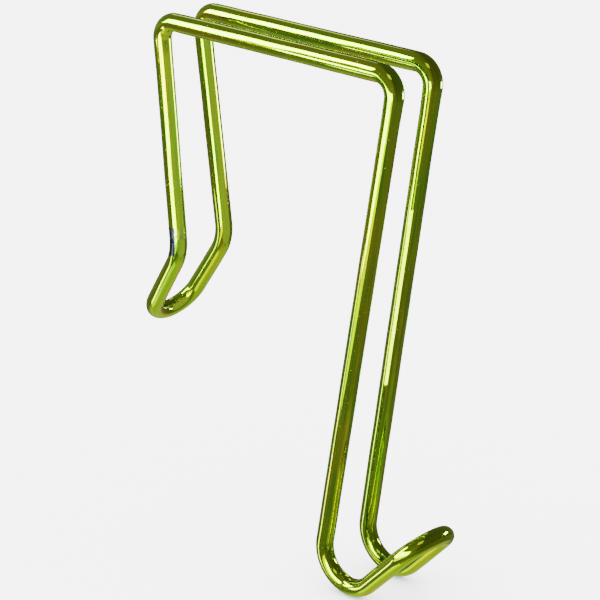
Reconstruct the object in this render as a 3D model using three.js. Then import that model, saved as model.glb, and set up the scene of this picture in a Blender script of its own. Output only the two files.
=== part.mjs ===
// Over-panel wire hook.
//
// One length of round steel wire is bent into a closed loop, and its two ends are butt-welded
// together on the left rear leg. The loop makes two matching side profiles, left and right.
// Each runs from the tail up the rear leg, over the panel's top edge, down the front leg and
// forward again into the hook. The tail and the hook each end in a round loop that joins the
// two sides. Each straight run and each bend is a mesh of its own, and neighbours share their
// end faces.
//
// Millimetres, +Z up. The origin is on the panel's top edge, under the middle of the two top
// bars. +X points to the panel's front, where the hook is. Seen from the front, the left side
// is at -Y and the right side at +Y.

import * as THREE from "three";

// The wire.
const WIRE_DIAMETER = 4.5;
const WIRE_SIDES = 16; // flats round the wire
const EDGE_RADIUS = WIRE_DIAMETER / 2 / Math.cos(Math.PI / WIRE_SIDES); // to the edges of the flats
const BEND_STEP = 11.25; // degrees of bend between two rings of flats

// The side profile, on the wire's centreline. Lengths run from corner to corner, where the
// straight runs would meet if the bends were sharp. Slopes are degrees from straight down,
// positive towards the front.
const TOP_LENGTH = 82;
const REAR_LEG_LENGTH = 62.6;
const REAR_LEG_SLOPE = 6.3;
const FRONT_LEG_LENGTH = 158.8;
const FRONT_LEG_SLOPE = -9.7;
const TAIL_SLOPE = -33.5;
const TAIL_REACH = 25.8; // from the tail's corner to the crown of its end loop
const HOOK_SLOPE = 135.3;
const HOOK_REACH = 50.4; // from the hook's corner to the crown of its end loop

// Bend radii, on the centreline.
const REAR_TOP_RADIUS = 4.8;
const FRONT_TOP_RADIUS = 4.95;
const TAIL_RADIUS = 11.7;
const HOOK_RADIUS = 9.1;
const TAIL_LOOP_RADIUS = 7.6;
const HOOK_LOOP_RADIUS = 8.2;

// How far each side's centreline lies from the middle plane, at each corner.
const REAR_TOP_OFFSET = 7.2;
const FRONT_TOP_OFFSET = 6.95;
const TAIL_OFFSET = 8.5;
const HOOK_OFFSET = 8.6;

// The butt weld, ground almost flush, at the foot of the left rear leg's straight run.
const WELD_LENGTH = 3.2;
const WELD_SWELL = 0.12; // how far its middle stands out from the wire

// Bright wire under a clear yellow-green lacquer, and the dull heat-tinted weld.
const WIRE_FINISH = { color: 0x86a312, metalness: 0.9, roughness: 0.14 };
const WELD_FINISH = { color: 0x4a5540, metalness: 0.7, roughness: 0.4 };

const SIDES = { left: -1, right: 1 }; // each side's sign on Y
const WELDED_SIDE = "left";
const ACROSS = new THREE.Vector3(0, 1, 0);

// The unit vector in the side view with this slope.
function heading(slope) {
  const angle = THREE.MathUtils.degToRad(slope);
  return new THREE.Vector3(Math.sin(angle), 0, -Math.cos(angle));
}

// The point that lies `distance` from `point` in the direction `towards`.
function along(point, towards, distance) {
  return point.clone().addScaledVector(towards, distance);
}

// The unit vector from one point to another.
function direction(from, to) {
  return to.clone().sub(from).normalize();
}

// A circular arc round `centre`. It leaves `start` in the direction `away`, and turns by `angle`.
class ArcCurve3 extends THREE.Curve {
  constructor(centre, start, away, angle) {
    super();
    this.centre = centre;
    this.radius = start.distanceTo(centre);
    this.outward = direction(centre, start);
    this.away = away;
    this.angle = angle;
  }

  getPoint(t, target = new THREE.Vector3()) {
    const turned = this.angle * t;
    return target
      .copy(this.centre)
      .addScaledVector(this.outward, this.radius * Math.cos(turned))
      .addScaledVector(this.away, this.radius * Math.sin(turned));
  }

  getTangent(t, target = new THREE.Vector3()) {
    const turned = this.angle * t;
    return target
      .copy(this.away)
      .multiplyScalar(Math.cos(turned))
      .addScaledVector(this.outward, -Math.sin(turned));
  }
}

// The corner of each stretch of one side, in order from the tail to the hook.
function cornersOf(sign) {
  const topHeight = WIRE_DIAMETER / 2;
  const rearTop = new THREE.Vector3(-TOP_LENGTH / 2, 0, topHeight);
  const frontTop = new THREE.Vector3(TOP_LENGTH / 2, 0, topHeight);
  const tail = along(rearTop, heading(REAR_LEG_SLOPE), REAR_LEG_LENGTH);
  const hook = along(frontTop, heading(FRONT_LEG_SLOPE), FRONT_LEG_LENGTH);
  return {
    tail: tail.setY(sign * TAIL_OFFSET),
    rearTop: rearTop.setY(sign * REAR_TOP_OFFSET),
    frontTop: frontTop.setY(sign * FRONT_TOP_OFFSET),
    hook: hook.setY(sign * HOOK_OFFSET),
  };
}

// An end loop lies in the plane of its two arms, which lean in evenly from their corners and
// meet the loop where it touches them. `ends` holds those two points, left and right.
function endLoop(corner, slope, reach, radius) {
  const middle = corner.clone().setY(0);
  const forward = heading(slope);
  const offset = Math.abs(corner.y);
  const centreReach = reach - radius;
  const lean = Math.acos(radius / Math.hypot(offset, centreReach)) - Math.atan2(centreReach, offset);
  const tangentReach = centreReach + radius * Math.sin(lean);
  const ends = {};
  for (const [side, sign] of Object.entries(SIDES)) {
    const tangent = along(middle, forward, tangentReach);
    ends[side] = tangent.setY(sign * radius * Math.cos(lean));
  }
  const away = forward.clone().multiplyScalar(Math.cos(lean));
  away.addScaledVector(ACROSS, -SIDES.left * Math.sin(lean));
  const centre = along(middle, forward, centreReach);
  return { ends, curve: new ArcCurve3(centre, ends.left, away, Math.PI - 2 * lean) };
}

// The bend that rounds a corner between two straight runs.
function bendAt(before, corner, after, radius) {
  const incoming = direction(before, corner);
  const outgoing = direction(corner, after);
  const angle = incoming.angleTo(outgoing);
  const cut = radius * Math.tan(angle / 2);
  const start = along(corner, incoming, -cut);
  const inward = outgoing.clone().addScaledVector(incoming, -incoming.dot(outgoing)).normalize();
  return {
    start,
    end: along(corner, outgoing, cut),
    curve: new ArcCurve3(along(start, inward, radius), start, incoming, angle),
  };
}

// The wire's faceted section. Its flats lie on the wire's true surface, one on each side.
function wireSection() {
  const points = [];
  for (let i = 0; i < WIRE_SIDES; i++) {
    const angle = ((i + 0.5) * 2 * Math.PI) / WIRE_SIDES;
    points.push(new THREE.Vector2(EDGE_RADIUS * Math.cos(angle), EDGE_RADIUS * Math.sin(angle)));
  }
  return new THREE.Shape(points);
}

// A length of wire along a curve, in `steps` stretches of flats.
function wireMesh(name, curve, steps) {
  const geometry = new THREE.ExtrudeGeometry(wireSection(), { steps, extrudePath: curve });
  const mesh = new THREE.Mesh(geometry, new THREE.MeshStandardMaterial(WIRE_FINISH));
  mesh.name = name;
  return mesh;
}

// A straight stretch of wire.
function straightRun(name, from, to) {
  return wireMesh(name, new THREE.LineCurve3(from, to), 1);
}

// A bend or loop of wire, round an arc.
function bentRun(name, curve) {
  const steps = Math.ceil(THREE.MathUtils.radToDeg(curve.angle) / BEND_STEP);
  return wireMesh(name, curve, steps);
}

// The weld is a barrel between the two ends of the wire, turned about the leg's centreline.
function buttWeld(start, upwards) {
  const profile = [
    new THREE.Vector2(0, 0),
    new THREE.Vector2(EDGE_RADIUS, 0),
    new THREE.Vector2(EDGE_RADIUS + WELD_SWELL, WELD_LENGTH / 3),
    new THREE.Vector2(EDGE_RADIUS + WELD_SWELL, (2 * WELD_LENGTH) / 3),
    new THREE.Vector2(EDGE_RADIUS, WELD_LENGTH),
    new THREE.Vector2(0, WELD_LENGTH),
  ];
  const geometry = new THREE.LatheGeometry(profile, WIRE_SIDES);
  const mesh = new THREE.Mesh(geometry, new THREE.MeshStandardMaterial(WELD_FINISH));
  mesh.name = "butt_weld";
  mesh.position.copy(start);
  mesh.quaternion.setFromUnitVectors(ACROSS, upwards);
  return mesh;
}

// A rear leg's straight run. The left one stands on the butt weld.
function rearLeg(side, bottom, top) {
  const name = `${side}_rear_leg`;
  if (side !== WELDED_SIDE) return [straightRun(name, bottom, top)];
  const upwards = direction(bottom, top);
  const weldTop = along(bottom, upwards, WELD_LENGTH);
  return [buttWeld(bottom, upwards), straightRun(name, weldTop, top)];
}

// One side of the wire, from the end of the tail's loop to the start of the hook's loop.
function sideProfile(side, tailEnd, hookEnd) {
  const { tail, rearTop, frontTop, hook } = cornersOf(SIDES[side]);
  const tailBend = bendAt(tailEnd, tail, rearTop, TAIL_RADIUS);
  const rearTopBend = bendAt(tail, rearTop, frontTop, REAR_TOP_RADIUS);
  const frontTopBend = bendAt(rearTop, frontTop, hook, FRONT_TOP_RADIUS);
  const hookBend = bendAt(frontTop, hook, hookEnd, HOOK_RADIUS);
  const group = new THREE.Group();
  group.add(
    straightRun(`${side}_tail_arm`, tailEnd, tailBend.start),
    bentRun(`${side}_tail_bend`, tailBend.curve),
    ...rearLeg(side, tailBend.end, rearTopBend.start),
    bentRun(`${side}_rear_top_bend`, rearTopBend.curve),
    straightRun(`${side}_top_bar`, rearTopBend.end, frontTopBend.start),
    bentRun(`${side}_front_top_bend`, frontTopBend.curve),
    straightRun(`${side}_front_leg`, frontTopBend.end, hookBend.start),
    bentRun(`${side}_hook_bend`, hookBend.curve),
    straightRun(`${side}_hook_arm`, hookBend.end, hookEnd),
  );
  return group;
}

// The whole wire: the two side profiles, and the loops that join them.
function wireHook() {
  const { tail, hook } = cornersOf(SIDES.left);
  const tailLoop = endLoop(tail, TAIL_SLOPE, TAIL_REACH, TAIL_LOOP_RADIUS);
  const hookLoop = endLoop(hook, HOOK_SLOPE, HOOK_REACH, HOOK_LOOP_RADIUS);
  const group = new THREE.Group();
  for (const side of Object.keys(SIDES)) {
    group.add(sideProfile(side, tailLoop.ends[side], hookLoop.ends[side]));
  }
  group.add(bentRun("tail_loop", tailLoop.curve), bentRun("hook_loop", hookLoop.curve));
  return group;
}

export default wireHook();
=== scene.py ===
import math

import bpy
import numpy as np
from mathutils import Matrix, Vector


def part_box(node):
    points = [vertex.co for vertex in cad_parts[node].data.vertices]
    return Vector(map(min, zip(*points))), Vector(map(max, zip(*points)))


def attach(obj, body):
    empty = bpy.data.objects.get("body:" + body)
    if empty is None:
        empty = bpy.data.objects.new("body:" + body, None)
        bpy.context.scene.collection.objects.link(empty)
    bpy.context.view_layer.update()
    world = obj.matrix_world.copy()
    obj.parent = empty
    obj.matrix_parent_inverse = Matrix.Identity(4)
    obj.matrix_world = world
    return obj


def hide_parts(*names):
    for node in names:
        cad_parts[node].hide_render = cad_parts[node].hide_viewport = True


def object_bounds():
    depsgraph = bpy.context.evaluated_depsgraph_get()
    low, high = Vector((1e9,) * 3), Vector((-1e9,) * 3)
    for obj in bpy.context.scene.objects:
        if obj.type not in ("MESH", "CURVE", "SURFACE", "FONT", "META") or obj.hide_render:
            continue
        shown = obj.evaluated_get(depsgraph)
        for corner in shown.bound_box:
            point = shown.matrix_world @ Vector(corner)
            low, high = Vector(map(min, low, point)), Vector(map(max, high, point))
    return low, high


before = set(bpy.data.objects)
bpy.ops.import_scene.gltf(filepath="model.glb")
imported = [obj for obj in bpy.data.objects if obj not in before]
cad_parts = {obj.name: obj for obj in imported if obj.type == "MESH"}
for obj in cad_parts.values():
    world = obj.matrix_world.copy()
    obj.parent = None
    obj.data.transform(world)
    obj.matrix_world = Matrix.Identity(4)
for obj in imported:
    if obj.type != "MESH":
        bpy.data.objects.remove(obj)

# The looks of an over-panel wire hook. The CAD frame holds the wire as straight runs, bends
# and loops that meet face to face. Here the same wire is one smooth, continuous mesh that
# follows the frame's own centreline from one end of the wire to the other, and a separate
# mesh for the butt weld between the two ends. Lengths are in metres, and colours are linear.

CAD_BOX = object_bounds()
CAD_LOW, CAD_HIGH = CAD_BOX
CAD_MIDDLE = (CAD_LOW + CAD_HIGH) / 2
MM = 0.001

# --- Sizes of the wire -------------------------------------------------------------------

# The wire's straight runs in the order in which the wire passes through them, from the weld
# up the left rear leg, down to the hook, round its loop and back to the weld.
RUNS = [
    "left_rear_leg", "left_top_bar", "left_front_leg", "left_hook_arm",
    "right_hook_arm", "right_front_leg", "right_top_bar", "right_rear_leg",
    "right_tail_arm", "left_tail_arm",
]
WELD = "butt_weld"
WIRE_NODES = [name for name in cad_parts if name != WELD]

BAR_LOW, BAR_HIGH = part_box("left_top_bar")
BAR_MIDDLE = (BAR_LOW + BAR_HIGH) / 2
WIRE_RADIUS = (BAR_HIGH.z - BAR_LOW.z) / 2
WELD_LOW, WELD_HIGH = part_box(WELD)
WELD_MIDDLE = (WELD_LOW + WELD_HIGH) / 2

# How the frame's vertices are read, and how finely the wire is drawn.
SAME_POINT_DIGITS = 7  # vertices whose coordinates agree to so many decimals are one point
END_FACE_DEPTH = 0.1 * MM  # vertices this close to a run's end belong to its end face
AROUND = 64  # vertices round the wire
ANGLES = [2 * math.pi * i / AROUND for i in range(AROUND)]
RUN_STEP = 1.0 * MM  # between rings on a straight run
BEND_STEP = math.radians(2.5)  # between rings on a bend
WELD_STEPS = 40  # from the weld's one end to the other

# What bending does to round wire.
TIGHT_BEND = 5.0 * MM  # a bend of this radius, or a tighter one, has the next two in full
FLATTEN = 0.035  # share of the radius lost across the bend
WIDEN = 0.02  # share of the radius gained beside it
BEND_FADE = 2.5 * MM  # length over which a bend's flattening fades out
WAVER = 0.03 * MM  # how far the centreline wavers
WAVER_LENGTHS = (17 * MM, 29 * MM, 43 * MM)
WAVER_PHASES = (1.7, 2.3)  # radians from one wave to the next, for the two side vectors

# How far the weld swells, and the waves that make it uneven. Each wave has its size as a share
# of the swelling, its count round the weld, its phase, and how far it winds from end to end.
WELD_SWELL = 0.035 * MM
WELD_WAVES = ((0.5, 2, 0.6, 0.0), (0.3, 5, 0.0, 9.0))

# How far the coat stands out from the bare wire. It ran down off the legs and stayed on the
# level top bars, most of all towards their front bends.
COAT = 0.11 * MM
COAT_ON_BARS = 0.12 * MM  # more than on the legs
COAT_IN_FRONT = 0.12 * MM  # more again
COAT_RUN = 14 * MM  # how far down from the bars it thins out

# The patches by the weld: the bearing that each faces, how many degrees it spreads to each
# side, and how far it reaches above and below the weld's middle.
PATCHES = {
    "stain": (-140.0, 88.0, 2.4 * MM, 7.0 * MM),
    "scuff": (-27.0, 32.0, 2.2 * MM, 2.6 * MM),
}
PATCH_REACH = 8.0 * MM  # no patch is further than this from the weld's middle
PATCH_FADE = 1.4 * MM  # length over which a patch fades out at the top and the bottom
PATCH_SIDE_SHARPNESS = 2.5  # how much faster it fades in at its sides than over its spread

# --- The finish --------------------------------------------------------------------------

LACQUER = (0.40, 0.60, 0.005)
LACQUER_GREEN = (0.30, 0.59, 0.003)
LACQUER_DEEP = (0.20, 0.42, 0.003)
LACQUER_GOLD = (0.54, 0.59, 0.010)
LACQUER_AMBER = (0.50, 0.38, 0.008)
STAIN = (0.018, 0.022, 0.014)
STAIN_GREY = (0.20, 0.20, 0.12)
SCUFF = (0.12, 0.12, 0.06)
SPECK = (0.78, 0.86, 0.30)

# The patterns in the finish. Each is noise: its scale per metre, the share of that scale that
# it has along the wire, which draws it out, and its detail.
STREAKS = (520, 0.035, 2.0)
CLOUDS = (190, 0.25, 2.0)
TINTED_LINES = (2100, 0.02, 1.0)
SPECKS = (2800, 1.0, 1.0)
DRAWN_LINES = (1500, 0.03, 2.0)
ORANGE_PEEL = (420, 0.4, 1.0)
PITS = (2300, 1.0, 1.0)
RAGGED_EDGES = (1400, 0.3, 3.0)
SCRATCHES = (2200, 0.08, 3.0)
HAZE = (900, 1.0, 3.0)
SCRATCH_CRISPNESS = 0.7  # the roughness of the noise

STREAK_SHARE = 0.65  # of the drift in colour
CLOUD_SHARE = 0.35
RAGGEDNESS = 0.9  # how far a patch's edges stray, in the patch's own share

# The levels of a pattern between which something in the finish comes in, or goes out.
GREEN_LEVELS = (0.40, 0.50)
GOLD_LEVELS = (0.50, 0.60)
DEEP_LINE_LEVELS = (0.38, 0.48)
AMBER_LINE_LEVELS = (0.53, 0.64)
SPECK_LEVELS = (0.67, 0.74)
PIT_LEVELS = (0.72, 0.80)
SCRATCH_LEVELS = (0.42, 0.62)
STAIN_GREY_LEVELS = (0.55, 0.80)
HAZE_LEVELS = (0.3, 0.7)
PATCH_LEVELS = (0.35, 0.60)
PATCH_RIM = (0.0, 0.1)  # of the patch's share before its edges stray

DEEP_LINE_SHARE = 0.8
AMBER_LINE_SHARE = 0.7
SPECK_SHARE = 0.8
SCUFF_SHARES = (0.10, 0.85)  # between the scratches and in them

# How deep the relief is.
LINE_DEPTH = 0.006 * MM
PEEL_DEPTH = 0.02 * MM
PIT_DEPTH = 0.02 * MM
SCRATCH_DEPTH = 0.1 * MM  # at a wear of 1

CLEAR_ROUGHNESS = 0.045
HAZY_ROUGHNESS = 0.085
PATCH_ROUGHNESS = 0.22  # more than beside the patch
WELD_WEAR = 0.06  # how far the weld was ground before it was lacquered
SHINE = {"Metallic": 1.0, "Coat Weight": 0.6, "Coat Roughness": 0.02, "Coat IOR": 1.5}

# --- The stage ---------------------------------------------------------------------------

FLOOR_PAINT = {"Base Color": (0.90, 0.90, 0.90, 1.0), "Roughness": 0.9}
FLOOR_SIZE = 12.0
FLOOR_GAP = 0.2 * MM  # between the floor and the lowest point of the CAD box

# What the wire reflects. Levels are radiances, by elevation in degrees. The room is warm in
# tone, dark above and in front, and has a pale table below and a soft glow behind.
ROOM = (
    (90, 0.08), (14, 0.09), (-8, 0.12), (-26, 0.14), (-32, 0.17), (-36.5, 0.155), (-41, 0.45),
    (-60, 0.68), (-90, 0.70),
)
ROOM_BEHIND = (
    (90, 0.15), (40, 0.20), (4, 0.26), (-3, 0.34), (-10, 0.22), (-18, 0.16), (-40, 0.20),
    (-50, 0.45), (-62, 0.90), (-90, 0.70),
)
ROOM_FRONT_BEARING = 55.0
ROOM_TURN = (-0.3, 0.15)  # cosines of the angle to it, between which behind turns into front
ROOM_COLOUR = (1.0, 1.0, 0.35)
PALE = 4.5  # the level of the pale light that the eye and the floor see instead

# These cards face the origin: bearing and elevation in degrees, then distance, width and
# height in metres, and level.
CARDS = {
    "key_strip": (-139.2, 20.0, 0.66, 0.160, 0.49, 20.0),
    "right_panel": (59.8, -12.6, 0.261, 0.095, 0.060, 13.0),
    "top_lamp": (-45, 56, 1.00, 0.35, 0.35, 1.6),
    "back_lamp": (148, 34, 1.00, 0.24, 0.17, 1.8),
    "low_strip": (-130, -37.6, 0.307, 0.040, 0.132, 7.0),
    "near_reflector": (-126.5, -6.7, 0.393, 0.082, 0.086, 14.0),
    "table_glow": (-98, -58, 1.00, 0.60, 0.32, 2.0),
}
# These stand upright: the two ends on the plan, as (x, y), then the bottom and the top, in
# metres, and the level. The light leaves on the side from which the first end is on the left.
UPRIGHT_CARDS = {
    "side_panel": ((0.180, -0.280), (-0.060, -0.152), -0.117, -0.020, 13.0),
    "side_panel_foot": ((0.170, -0.276), (-0.056, -0.153), -0.164, -0.117, 3.0),
    "inner_glow": ((0.018, 0.060), (0.018, -0.090), -0.115, -0.003, 0.60),
}
# A strip of light stands between the front legs and is parallel to them.
LEG_GLOW_PLACE = 0.455  # of the way down the legs, before the shift
LEG_GLOW_SHIFT = Vector((0.6, 0.0, -3.7)) * MM
LEG_GLOW_SIZE = (5.4 * MM, 51 * MM)
LEG_GLOW_LEVEL = 8.0

CARD_COLOUR = (0.86, 1.0, 1.9)
DIM_CARD_COLOUR = (0.92, 1.0, 0.8)
BRIGHT = 5.0  # cards above this level have the first of these colours, and others the second
CARD_EDGE = 0.08  # share of a card's shorter side over which its light fades out

CAMERA_BEARING = -46.1
CAMERA_ELEVATION = 20.1
CAMERA_DISTANCE = 0.692
CAMERA_LENS = 160.1  # in millimetres, as is the next
CAMERA_SENSOR = 36.0
CAMERA_AIM = Vector((0.6, 0.8, 0.5)) * MM  # from the middle of the CAD box


# --- The centreline, read from the frame -------------------------------------------------


def vertices_of(node):
    """A CAD node's own vertices, each once."""
    points = np.array([v.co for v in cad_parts[node].data.vertices])
    return np.unique(points.round(SAME_POINT_DIGITS), axis=0)


def ends_of(node):
    """The middles of a straight run's two end faces."""
    points = vertices_of(node)
    middle = points.mean(axis=0)
    axis = np.linalg.svd(points - middle, full_matrices=False)[2][0]
    along = (points - middle) @ axis
    low = points[along < along.min() + END_FACE_DEPTH].mean(axis=0)
    high = points[along > along.max() - END_FACE_DEPTH].mean(axis=0)
    return Vector(low), Vector(high)


def weld_foot(top, downwards):
    """The middle of the weld's lower face. The weld is shorter than it is thick, so its own
    shape doesn't say which way it points."""
    reach = ((vertices_of(WELD) - np.array(top)) @ np.array(downwards)).max()
    return top + downwards * float(reach)


def ordered_runs():
    """(start, end) of each straight run, in the wire's order."""
    runs = [ends_of(name) for name in RUNS]
    ordered = []
    for i, (a, b) in enumerate(runs):
        following = runs[(i + 1) % len(runs)]
        from_a = min((a - p).length for p in following)
        from_b = min((b - p).length for p in following)
        ordered.append((a, b) if from_b < from_a else (b, a))
    return ordered


def straight_points(start, end):
    """Points, and the bend's curvature and inward direction there, on a straight run."""
    steps = max(1, round((end - start).length / RUN_STEP))
    return [(start.lerp(end, i / steps), 0.0, Vector()) for i in range(1, steps)]


def bend_points(start, heading, end, leaving):
    """The same on the arc that joins two straight runs."""
    angle = heading.angle(leaving)
    chord = end - start
    radius = chord.length / 2 / math.sin(angle / 2)
    inward = (chord - heading * chord.dot(heading)).normalized()
    centre = start + inward * radius
    steps = max(1, round(angle / BEND_STEP))
    found = []
    for i in range(steps + 1):
        turned = angle * i / steps
        out = -inward * math.cos(turned) + heading * math.sin(turned)
        found.append((centre + out * radius, 1 / radius, -out))
    return found


def centreline():
    """The whole wire from the weld's top face round to its bottom face."""
    runs = ordered_runs()
    start = runs[0][0]
    finish = weld_foot(start, (start - runs[0][1]).normalized())
    points = [(start, 0.0, Vector())]
    for (a, b), (c, d) in zip(runs, runs[1:]):
        points += straight_points(a, b)
        points += bend_points(b, (b - a).normalized(), c, (d - c).normalized())
    a, b = runs[-1]
    points += straight_points(a, b)
    points += bend_points(b, (b - a).normalized(), finish, (start - finish).normalized())
    return points


# --- Meshes ------------------------------------------------------------------------------


def lengths_along(places):
    """How far along the wire each place is."""
    steps = [(b - a).length for a, b in zip(places, places[1:])]
    return np.concatenate([[0.0], np.cumsum(steps)])


def sides_along(places):
    """A pair of unit vectors across the wire at each place, turned as little as possible."""
    tangents = []
    for i in range(len(places)):
        before, after = places[max(i - 1, 0)], places[min(i + 1, len(places) - 1)]
        tangents.append((after - before).normalized())
    side = Vector((0, 1, 0))
    side = (side - tangents[0] * side.dot(tangents[0])).normalized()
    sides = [side]
    for a, b in zip(tangents, tangents[1:]):
        side = a.rotation_difference(b) @ side
        side = (side - b * side.dot(b)).normalized()
        sides.append(side)
    return [(side, tangent.cross(side)) for tangent, side in zip(tangents, sides)]


def faded(values, lengths, reach):
    """Values blurred along the wire."""
    out = np.empty_like(values)
    for i, here in enumerate(lengths):
        weights = np.exp(-(((lengths - here) / reach) ** 2))
        out[i] = (values * weights[:, None]).sum(axis=0) / weights.sum()
    return out


def smooth(share):
    """A share held between 0 and 1, and eased near both."""
    share = min(1.0, max(0.0, share))
    return share * share * (3 - 2 * share)


def wavering(length):
    """How far the centreline stands off its nominal place here, along the two side vectors."""
    waves = [length / w * 2 * math.pi for w in WAVER_LENGTHS]
    first_phase, second_phase = WAVER_PHASES
    first = sum(math.sin(wave + first_phase * i) for i, wave in enumerate(waves))
    second = sum(math.cos(wave + second_phase * i) for i, wave in enumerate(waves))
    return WAVER * first / len(waves), WAVER * second / len(waves)


def coat_at(place):
    """How far the coat stands out from the bare wire here."""
    on_bars = smooth(1 - (BAR_MIDDLE.z - place.z) / COAT_RUN)
    in_front = smooth((place.x - BAR_MIDDLE.x) / (BAR_HIGH.x - BAR_MIDDLE.x))
    return COAT + on_bars * (COAT_ON_BARS + COAT_IN_FRONT * in_front)


def straightened(lengths):
    """The coordinates that every ring's vertices have on the wire before it is bent."""
    found = []
    for length in lengths:
        for angle in ANGLES:
            found += [WIRE_RADIUS * math.cos(angle), WIRE_RADIUS * math.sin(angle), length]
    return found


def tube_mesh(name, rings, lengths):
    """A piece made of rings of vertices, at these lengths along the wire. It also stores where
    each vertex is on the straightened wire, which the materials' patterns follow."""
    last = (len(rings) - 1) * AROUND
    faces = []
    for first in range(0, last, AROUND):
        for j in range(AROUND):
            a, b = first + j, first + (j + 1) % AROUND
            faces.append((a, b, b + AROUND, a + AROUND))
    faces.append(tuple(reversed(range(AROUND))))
    faces.append(tuple(range(last, last + AROUND)))
    mesh = bpy.data.meshes.new(name)
    mesh.from_pydata([point for ring in rings for point in ring], [], faces)
    mesh.polygons.foreach_set("use_smooth", [len(face) == 4 for face in faces])
    for edge in mesh.edges:
        edge.use_edge_sharp = max(edge.vertices) < AROUND or min(edge.vertices) >= last
    layer = mesh.attributes.new("straightened", "FLOAT_VECTOR", "POINT")
    layer.data.foreach_set("vector", straightened(lengths))
    mesh.update()
    piece = bpy.data.objects.new(name, mesh)
    bpy.context.scene.collection.objects.link(piece)
    return piece


def wire_ring(centre, side, other, bend, radius):
    """The vertices round the wire at one place. `bend` points into the bend there, and its
    length is the curvature."""
    amount = min(1.0, bend.length * TIGHT_BEND)
    inward = bend.normalized()
    ring = []
    for angle in ANGLES:
        out = side * math.cos(angle) + other * math.sin(angle)
        across = out.dot(inward) ** 2
        scale = 1 + amount * (WIDEN * (1 - across) - FLATTEN * across)
        ring.append(centre + out * radius * scale)
    return ring


def wire_piece():
    """The bent wire, with the slight flattening of its bends and the waver of its runs."""
    points = centreline()
    places = [place for place, _, _ in points]
    lengths = lengths_along(places)
    bends = faded(np.array([inward * bend for _, bend, inward in points]), lengths, BEND_FADE)
    rings = []
    for place, length, bend, (side, other) in zip(places, lengths, bends, sides_along(places)):
        off_side, off_other = wavering(length)
        centre = place + side * off_side + other * off_other
        rings.append(wire_ring(centre, side, other, Vector(bend), WIRE_RADIUS + coat_at(place)))
    return tube_mesh("wire_loop", rings, lengths)


def weld_ring(centre, side, other, share):
    """The vertices round the weld at this share of its height."""
    crown = math.sin(math.pi * share) ** 2
    ring = []
    for angle in ANGLES:
        out = side * math.cos(angle) + other * math.sin(angle)
        uneven = sum(
            size * math.sin(count * angle + phase + winding * share)
            for size, count, phase, winding in WELD_WAVES
        )
        ring.append(centre + out * (WIRE_RADIUS + COAT + WELD_SWELL * crown * (1 + uneven)))
    return ring


def weld_piece():
    """The weld: a low, slightly uneven swelling between the wire's ends."""
    high, leg_top = sorted(ends_of("left_rear_leg"), key=lambda p: p.z)
    low = weld_foot(high, (high - leg_top).normalized())
    length = (high - low).length
    shares = [i / WELD_STEPS for i in range(WELD_STEPS + 1)]
    places = [low.lerp(high, share) for share in shares]
    rings = []
    for place, share, (side, other) in zip(places, shares, sides_along(places)):
        rings.append(weld_ring(place, side, other, share))
    return tube_mesh("butt_weld_bead", rings, [share * length for share in shares])


def mark_patch(piece, name, bearing, spread, above, below):
    """Stores how much of a patch by the weld each vertex has."""
    facing = from_bearing(bearing, 0)
    widest = math.cos(math.radians(spread))
    values = []
    for vertex in piece.data.vertices:
        away = vertex.co - WELD_MIDDLE
        turned = Vector(vertex.normal).dot(facing)
        across = (turned - widest) / (1 - widest) * PATCH_SIDE_SHARPNESS
        upper = (above - away.z) / PATCH_FADE
        lower = (below + away.z) / PATCH_FADE
        share = min(1.0, across, upper, lower)
        values.append(max(0.0, share) if away.length < PATCH_REACH else 0.0)
    layer = piece.data.attributes.new(name, "FLOAT", "POINT")
    layer.data.foreach_set("value", values)


def mark_patches(piece):
    """Stores both patches."""
    for name, patch in PATCHES.items():
        mark_patch(piece, name, *patch)


# --- Materials ---------------------------------------------------------------------------


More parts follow.
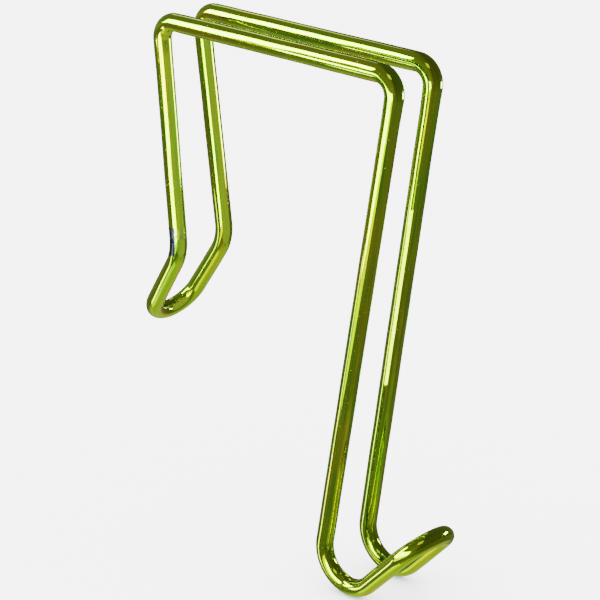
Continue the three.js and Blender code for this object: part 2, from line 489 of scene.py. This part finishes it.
class Nodes:
    """A small helper that adds nodes to a material or a world and links them."""

    def __init__(self, owner):
        owner.use_nodes = True
        self.tree = owner.node_tree
        self.shader = self.tree.nodes.get("Principled BSDF")

    def add(self, kind, **settings):
        node = self.tree.nodes.new(kind)
        for key, value in settings.items():
            setattr(node, key, value)
        return node

    def link(self, output, socket):
        self.tree.links.new(output, socket)

    def set_inputs(self, node, values):
        for name, value in values.items():
            node.inputs[name].default_value = value

    def attribute(self, name, output):
        return self.add("ShaderNodeAttribute", attribute_name=name).outputs[output]

    def noise(self, place, pattern, roughness=0.5):
        """One of the patterns in the finish."""
        scale, along, detail = pattern
        drawn_out = self.add("ShaderNodeVectorMath", operation="MULTIPLY")
        self.link(place, drawn_out.inputs[0])
        drawn_out.inputs[1].default_value = (1.0, 1.0, along)
        node = self.add("ShaderNodeTexNoise")
        self.link(drawn_out.outputs[0], node.inputs["Vector"])
        self.set_inputs(node, {"Scale": scale, "Detail": detail, "Roughness": roughness})
        return node.outputs["Fac"]

    def ranged(self, value, levels, to_low=0.0, to_high=1.0):
        """Eases from to_low to to_high as the value goes from the first level to the second."""
        node = self.add("ShaderNodeMapRange", interpolation_type="SMOOTHSTEP")
        self.link(value, node.inputs["Value"])
        self.set_inputs(node, {"From Min": levels[0], "From Max": levels[1]})
        self.set_inputs(node, {"To Min": to_low, "To Max": to_high})
        return node.outputs["Result"]

    def maths(self, operation, a, b=0.0):
        """The result for a and b, each a number or an output."""
        node = self.add("ShaderNodeMath", operation=operation)
        for socket, value in zip(node.inputs, (a, b)):
            if isinstance(value, (int, float)):
                socket.default_value = value
            else:
                self.link(value, socket)
        return node.outputs[0]

    def mixed(self, share, a, b):
        """A colour between a and b, each a colour or an output."""
        node = self.add("ShaderNodeMix", data_type="RGBA")
        self.link(share, node.inputs["Factor"])
        for name, value in (("A", a), ("B", b)):
            socket = [s for s in node.inputs if s.name == name and s.type == "RGBA"][0]
            if isinstance(value, tuple):
                socket.default_value = (*value, 1.0)
            else:
                self.link(value, socket)
        return [s for s in node.outputs if s.type == "RGBA"][0]

    def blended(self, share, a, b):
        """A shader between those of nodes a and b."""
        node = self.add("ShaderNodeMixShader")
        self.link(share, node.inputs["Fac"])
        self.link(a.outputs[0], node.inputs[1])
        self.link(b.outputs[0], node.inputs[2])
        return node.outputs[0]

    def bump(self, height, distance, under=None):
        """A normal for relief this deep, on top of the relief under it."""
        node = self.add("ShaderNodeBump")
        self.link(height, node.inputs["Height"])
        self.set_inputs(node, {"Distance": distance, "Strength": 1.0})
        if under is not None:
            self.link(under, node.inputs["Normal"])
        return node.outputs["Normal"]


def lacquer_colour(n, place):
    """Yellow-green that drifts between greener and golder in long streaks down the wire, with
    fine deep green and amber lines, and a scatter of pale specks."""
    streaks = n.maths("MULTIPLY", n.noise(place, STREAKS), STREAK_SHARE)
    clouds = n.maths("MULTIPLY", n.noise(place, CLOUDS), CLOUD_SHARE)
    drift = n.maths("ADD", streaks, clouds)
    greener = n.mixed(n.ranged(drift, GREEN_LEVELS), LACQUER_GREEN, LACQUER)
    golder = n.mixed(n.ranged(drift, GOLD_LEVELS), greener, LACQUER_GOLD)
    lines = n.noise(place, TINTED_LINES)
    deep = n.ranged(lines, DEEP_LINE_LEVELS, DEEP_LINE_SHARE, 0.0)
    amber = n.ranged(lines, AMBER_LINE_LEVELS, 0.0, AMBER_LINE_SHARE)
    lined = n.mixed(amber, n.mixed(deep, golder, LACQUER_DEEP), LACQUER_AMBER)
    specks = n.ranged(n.noise(place, SPECKS), SPECK_LEVELS, 0.0, SPECK_SHARE)
    return n.mixed(specks, lined, SPECK)


def lacquer_relief(n, place):
    """The lacquer's faint orange peel over the wire's drawn lines, and a scatter of pits."""
    lines = n.bump(n.noise(place, DRAWN_LINES), LINE_DEPTH)
    peeled = n.bump(n.noise(place, ORANGE_PEEL), PEEL_DEPTH, under=lines)
    pits = n.ranged(n.noise(place, PITS), PIT_LEVELS)
    return n.bump(n.maths("MULTIPLY", pits, -1.0), PIT_DEPTH, under=peeled)


def patch_share(n, place, name):
    """How much of a patch by the weld shows here. Its edges are ragged and streaky."""
    mask = n.attribute(name, "Fac")
    stray = n.maths("SUBTRACT", n.noise(place, RAGGED_EDGES), 0.5)
    ragged = n.maths("ADD", mask, n.maths("MULTIPLY", stray, RAGGEDNESS))
    return n.maths("MULTIPLY", n.ranged(ragged, PATCH_LEVELS), n.ranged(mask, PATCH_RIM))


def finish_colour(n, place, stain, scuff, scratches):
    """The lacquer's colour, with the scuff and then the stain over it."""
    bared = n.maths("MULTIPLY", scuff, n.ranged(scratches, SCRATCH_LEVELS, *SCUFF_SHARES))
    scuffed = n.mixed(bared, lacquer_colour(n, place), SCUFF)
    stain_colour = n.mixed(n.ranged(scratches, STAIN_GREY_LEVELS), STAIN, STAIN_GREY)
    return n.mixed(stain, scuffed, stain_colour)


def finish_roughness(n, place, stain, scuff, wear):
    """The lacquer's faint haze, and the duller patches."""
    clear, hazy = CLEAR_ROUGHNESS + wear, HAZY_ROUGHNESS + 2 * wear
    haze = n.ranged(n.noise(place, HAZE), HAZE_LEVELS, clear, hazy)
    dull = n.maths("MULTIPLY", n.maths("MAXIMUM", stain, scuff), PATCH_ROUGHNESS)
    return n.maths("ADD", haze, dull)


def finish_material(name, wear):
    """Clear yellow-green lacquer over bright drawn wire. `wear` is how far the bright wire
    was ground before it was lacquered."""
    material = bpy.data.materials.new(name)
    n = Nodes(material)
    place = n.attribute("straightened", "Vector")
    stain = patch_share(n, place, "stain")
    scuff = patch_share(n, place, "scuff")
    scratches = n.noise(place, SCRATCHES, SCRATCH_CRISPNESS)
    relief = lacquer_relief(n, place)
    if wear:
        relief = n.bump(scratches, wear * SCRATCH_DEPTH, under=relief)
    n.link(finish_colour(n, place, stain, scuff, scratches), n.shader.inputs["Base Color"])
    n.link(finish_roughness(n, place, stain, scuff, wear), n.shader.inputs["Roughness"])
    n.link(relief, n.shader.inputs["Normal"])
    n.set_inputs(n.shader, SHINE)
    return material


def floor_material():
    """Plain matt paint."""
    material = bpy.data.materials.new("floor_paint")
    n = Nodes(material)
    n.set_inputs(n.shader, FLOOR_PAINT)
    return material


def card_material(name, level, width, height):
    """Plain light that leaves on one side, and fades out towards the card's edges."""
    material = bpy.data.materials.new(name)
    n = Nodes(material)
    n.tree.nodes.remove(n.shader)
    place = n.add("ShaderNodeSeparateXYZ")
    n.link(n.add("ShaderNodeTexCoord").outputs["Generated"], place.inputs[0])
    share = n.maths("SUBTRACT", 1.0, n.add("ShaderNodeNewGeometry").outputs["Backfacing"])
    for axis, size in (("X", width), ("Y", height)):
        from_middle = n.maths("ABSOLUTE", n.maths("SUBTRACT", place.outputs[axis], 0.5))
        inside = n.maths("SUBTRACT", 0.5, from_middle)
        edge = n.ranged(inside, (0.0, CARD_EDGE * min(width, height) / size))
        share = n.maths("MULTIPLY", share, edge)
    colour = CARD_COLOUR if level > BRIGHT else DIM_CARD_COLOUR
    glow = n.add("ShaderNodeEmission")
    n.set_inputs(glow, {"Color": (*colour, 1.0), "Strength": level})
    surface = n.blended(share, n.add("ShaderNodeBsdfTransparent"), glow)
    n.link(surface, n.tree.nodes["Material Output"].inputs["Surface"])
    return material


# --- Stage -------------------------------------------------------------------------------


def from_bearing(bearing, elevation):
    """The unit vector in a direction. The bearing is measured from +X towards +Y."""
    a, e = math.radians(bearing), math.radians(elevation)
    return Vector((math.cos(a) * math.cos(e), math.sin(a) * math.cos(e), math.sin(e)))


def sheet(name, width, height, material):
    """A flat rectangle with its middle at the origin."""
    x, y = width / 2, height / 2
    mesh = bpy.data.meshes.new(name)
    mesh.from_pydata([(-x, -y, 0), (x, -y, 0), (x, y, 0), (-x, y, 0)], [], [(0, 1, 2, 3)])
    mesh.materials.append(material)
    made = bpy.data.objects.new(name, mesh)
    bpy.context.scene.collection.objects.link(made)
    return made


def add_floor():
    """A plain pale floor that the wire's gloss doesn't see."""
    floor = sheet("floor", FLOOR_SIZE, FLOOR_SIZE, floor_material())
    floor.matrix_world = Matrix.Translation((0, 0, CAD_LOW.z - FLOOR_GAP))
    floor.visible_glossy = False


def place_card(name, centre, across, upright, width, height, level):
    """A card of light that only the wire's gloss sees. The light leaves towards
    across x upright."""
    card = sheet(name, width, height, card_material(name, level, width, height))
    turn = Matrix((across, upright, across.cross(upright))).transposed().to_4x4()
    card.matrix_world = Matrix.Translation(centre) @ turn
    card.visible_camera = False
    card.visible_diffuse = False
    card.visible_shadow = False


def add_card(name, bearing, elevation, distance, width, height, level):
    """A card that faces the origin."""
    away = from_bearing(bearing, elevation)
    across = away.cross(Vector((0, 0, 1))).normalized()
    place_card(name, away * distance, across, across.cross(away), width, height, level)


def add_upright_card(name, left, right, bottom, top, level):
    """A card that stands upright on the line from one end to the other."""
    start, end = Vector((*left, bottom)), Vector((*right, bottom))
    centre = (start + end) / 2 + Vector((0, 0, (top - bottom) / 2))
    across = (end - start).normalized()
    width = (end - start).length
    place_card(name, centre, across, Vector((0, 0, 1)), width, top - bottom, level)


def add_leg_glow():
    """The strip of light between the front legs, which only the right one sees."""
    low, high = sorted(ends_of("right_front_leg"), key=lambda p: p.z)
    centre = high.lerp(low, LEG_GLOW_PLACE)
    centre.y = 0
    centre += LEG_GLOW_SHIFT
    upright = high - low
    upright.y = 0
    upright.normalize()
    across = upright.cross(Vector((0, 1, 0)))
    place_card("leg_glow", centre, across, upright, *LEG_GLOW_SIZE, LEG_GLOW_LEVEL)


def room_ramp(n, height, levels):
    """The room's light by height, which goes from 0 straight down to 1 straight up."""
    ramp = n.add("ShaderNodeValToRGB")
    n.link(height, ramp.inputs["Fac"])
    stops = ramp.color_ramp.elements
    while len(stops) < len(levels):
        stops.new(0.5)
    for stop, (elevation, level) in zip(stops, reversed(levels)):
        stop.position = (math.sin(math.radians(elevation)) + 1) / 2
        stop.color = (*(level * share for share in ROOM_COLOUR), 1.0)
    return ramp.outputs["Color"]


def room_light(n):
    """The room's light in each direction, behind and in front."""
    towards = n.add("ShaderNodeTexCoord").outputs["Generated"]
    parts = n.add("ShaderNodeSeparateXYZ")
    n.link(towards, parts.inputs[0])
    height = n.maths("MULTIPLY", n.maths("ADD", parts.outputs["Z"], 1.0), 0.5)
    facing = n.add("ShaderNodeVectorMath", operation="DOT_PRODUCT")
    n.link(towards, facing.inputs[0])
    facing.inputs[1].default_value = from_bearing(ROOM_FRONT_BEARING, 0)
    in_front = n.ranged(facing.outputs["Value"], ROOM_TURN)
    return n.mixed(in_front, room_ramp(n, height, ROOM_BEHIND), room_ramp(n, height, ROOM))


def add_world():
    """A pale room for the eye and the floor, and a darker one for the wire's gloss."""
    world = bpy.data.worlds.new("room")
    bpy.context.scene.world = world
    world.cycles.sampling_method = "NONE"
    n = Nodes(world)
    n.tree.nodes.clear()
    dim = n.add("ShaderNodeBackground")
    n.link(room_light(n), dim.inputs["Color"])
    pale = n.add("ShaderNodeBackground")
    n.set_inputs(pale, {"Color": (1.0, 1.0, 1.0, 1.0), "Strength": PALE})
    on_gloss = n.add("ShaderNodeLightPath").outputs["Is Glossy Ray"]
    surface = n.blended(on_gloss, pale, dim)
    n.link(surface, n.add("ShaderNodeOutputWorld").inputs["Surface"])


def add_camera():
    """The camera, aimed near the middle of the part."""
    back = from_bearing(CAMERA_BEARING, CAMERA_ELEVATION)
    data = bpy.data.cameras.new("camera")
    data.lens = CAMERA_LENS
    data.sensor_width = CAMERA_SENSOR
    camera = bpy.data.objects.new("camera", data)
    bpy.context.scene.collection.objects.link(camera)
    camera.location = CAD_MIDDLE + CAMERA_AIM + back * CAMERA_DISTANCE
    camera.rotation_mode = "QUATERNION"
    camera.rotation_quaternion = (-back).to_track_quat("-Z", "Y")
    bpy.context.scene.camera = camera


# --- The scene ---------------------------------------------------------------------------

wire = wire_piece()
mark_patches(wire)
wire.data.materials.append(finish_material("lacquered_wire", 0.0))
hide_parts(*WIRE_NODES)
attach(wire, "root")

weld = weld_piece()
mark_patches(weld)
weld.data.materials.append(finish_material("weld_zone", WELD_WEAR))
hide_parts(WELD)
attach(weld, "root")

add_floor()
add_world()
for name, card in CARDS.items():
    add_card(name, *card)
for name, card in UPRIGHT_CARDS.items():
    add_upright_card(name, *card)
add_leg_glow()
add_camera()

bpy.context.scene.view_settings.view_transform = "Filmic"
